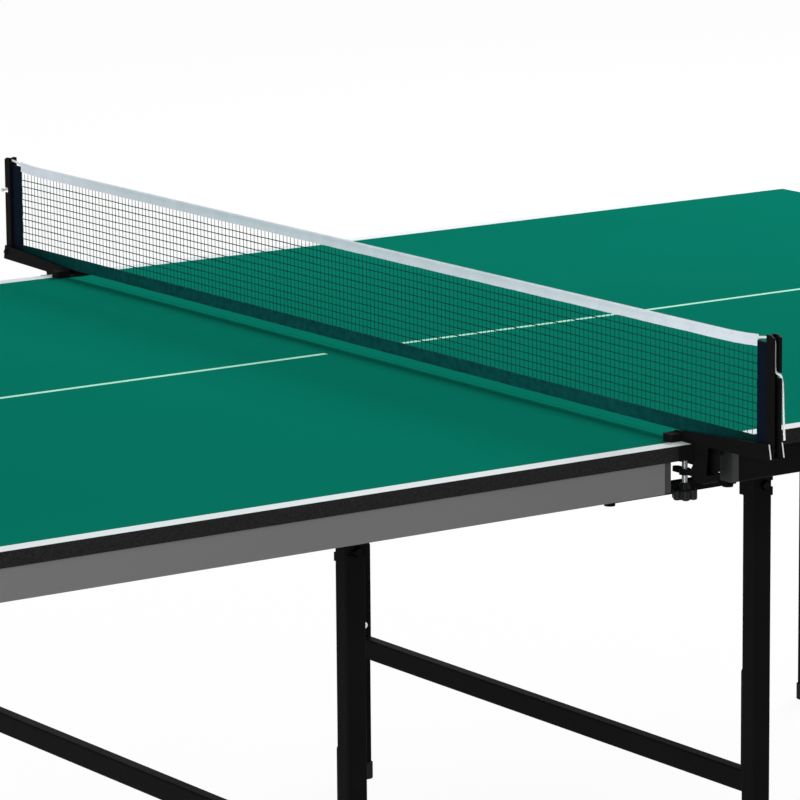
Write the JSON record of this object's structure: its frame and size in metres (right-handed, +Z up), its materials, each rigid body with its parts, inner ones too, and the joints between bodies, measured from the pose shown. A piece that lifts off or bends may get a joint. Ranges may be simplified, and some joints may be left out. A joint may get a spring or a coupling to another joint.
{
  "type": "ping pong table",
  "caption": "Ping pong table in two halves on folding steel leg frames, with a clamp-on net, tube rails under the boards and coupling bars that join the halves.",
  "frame": {"origin": "on the floor under the middle of the net", "axes": "+X along the table towards the right half, +Y across towards the far side, +Z up"},
  "size_m": [2.74, 1.825, 0.916],
  "materials": {
    "board": "matte green lacquer with white lines",
    "edge_band": "fine grained black edging",
    "black_steel": "black powder coat",
    "cap_plastic": "dark grey moulded plastic",
    "grey_fascia": "plain satin grey strip",
    "dark_zinc": "dark plated steel",
    "bright_zinc": "bright zinc plated steel",
    "foot_rubber": "black rubbery plastic",
    "pad_rubber": "black rubber facing",
    "knob_plastic": "moulded black plastic",
    "net_mesh": "black knitted net",
    "net_tape": "white woven tape",
    "net_binding": "dark navy woven binding",
    "cord": "white braided cord"
  },
  "bodies": {
    "table": {"left_board": "board", "left_edge_band": "edge_band", "left_near_rail": "black_steel", "left_far_rail": "black_steel", "left_end_rail": "black_steel", "left_cross_rail": "black_steel", "right_board": "board", "right_edge_band": "edge_band", "right_near_rail": "black_steel", "right_far_rail": "black_steel", "right_end_rail": "black_steel", "right_cross_rail": "black_steel", "rail_end_caps": "cap_plastic", "fascias": "grey_fascia", "left_leg_brackets": "black_steel", "right_leg_brackets": "black_steel", "hinge_pins": "dark_zinc", "coupling_studs": "bright_zinc", "near_clamp": "black_steel", "near_post": "black_steel", "far_clamp": "black_steel", "far_post": "black_steel", "post_bolts": "dark_zinc", "net_mesh": "net_mesh", "net_tape": "net_tape", "net_bottom_band": "net_binding", "net_sleeves": "net_binding", "near_cord": "cord", "far_cord": "cord"},
    "left_inner_legs": {"left_inner_near_leg": "black_steel", "left_inner_far_leg": "black_steel", "left_inner_crossbar": "black_steel", "left_inner_feet": "foot_rubber", "left_inner_bolts": "bright_zinc"},
    "left_outer_legs": {"left_outer_near_leg": "black_steel", "left_outer_far_leg": "black_steel", "left_outer_crossbar": "black_steel", "left_outer_feet": "foot_rubber", "left_outer_bolts": "bright_zinc"},
    "right_inner_legs": {"right_inner_near_leg": "black_steel", "right_inner_far_leg": "black_steel", "right_inner_crossbar": "black_steel", "right_inner_feet": "foot_rubber", "right_inner_bolts": "bright_zinc"},
    "right_outer_legs": {"right_outer_near_leg": "black_steel", "right_outer_far_leg": "black_steel", "right_outer_crossbar": "black_steel", "right_outer_feet": "foot_rubber", "right_outer_bolts": "bright_zinc"},
    "near_pad": {"near_pressure_pad": "pad_rubber"},
    "near_screw": {"near_clamp_screw": "bright_zinc", "near_clamp_knob": "knob_plastic"},
    "near_coupling": {"near_coupling_bar": "black_steel"},
    "far_pad": {"far_pressure_pad": "pad_rubber"},
    "far_screw": {"far_clamp_screw": "bright_zinc", "far_clamp_knob": "knob_plastic"},
    "far_coupling": {"far_coupling_bar": "black_steel"}
  },
  "joints": [
    {"name": "left_inner_fold", "type": "hinge", "parent": "table", "child": "left_inner_legs", "pos_m": [-0.324, 0, 0.723], "axis": [0, 1, 0], "range_deg": [0, 90]},
    {"name": "left_outer_fold", "type": "hinge", "parent": "table", "child": "left_outer_legs", "pos_m": [-1.158, 0, 0.688], "axis": [0, -1, 0], "range_deg": [0, 90]},
    {"name": "right_inner_fold", "type": "hinge", "parent": "table", "child": "right_inner_legs", "pos_m": [0.324, 0, 0.723], "axis": [0, -1, 0], "range_deg": [0, 90]},
    {"name": "right_outer_fold", "type": "hinge", "parent": "table", "child": "right_outer_legs", "pos_m": [1.158, 0, 0.688], "axis": [0, 1, 0], "range_deg": [0, 90]},
    {"name": "near_pad_lower", "type": "slide", "parent": "table", "child": "near_pad", "axis": [0, 0, -1], "range_m": [0, 0.012]},
    {"name": "near_screw_turn", "type": "hinge", "parent": "near_pad", "child": "near_screw", "pos_m": [0, -0.731, 0.69], "axis": [0, 0, -1], "range_deg": [0, 2880.1]},
    {"name": "near_coupling_swing", "type": "hinge", "parent": "table", "child": "near_coupling", "pos_m": [-0.0925, -0.7, 0.69], "axis": [0, 0, 1], "range_deg": [0, 90]},
    {"name": "far_pad_lower", "type": "slide", "parent": "table", "child": "far_pad", "axis": [0, 0, -1], "range_m": [0, 0.012]},
    {"name": "far_screw_turn", "type": "hinge", "parent": "far_pad", "child": "far_screw", "pos_m": [0, 0.731, 0.69], "axis": [0, 0, -1], "range_deg": [0, 2880.1]},
    {"name": "far_coupling_swing", "type": "hinge", "parent": "table", "child": "far_coupling", "pos_m": [0.0925, 0.7, 0.69], "axis": [0, 0, 1], "range_deg": [0, 90]}
  ],
  "couplings": [
    {"joint": "near_screw_turn", "follows": "near_pad_lower", "rad_per_m": 4188.8},
    {"joint": "far_screw_turn", "follows": "far_pad_lower", "rad_per_m": 4188.8}
  ]
}
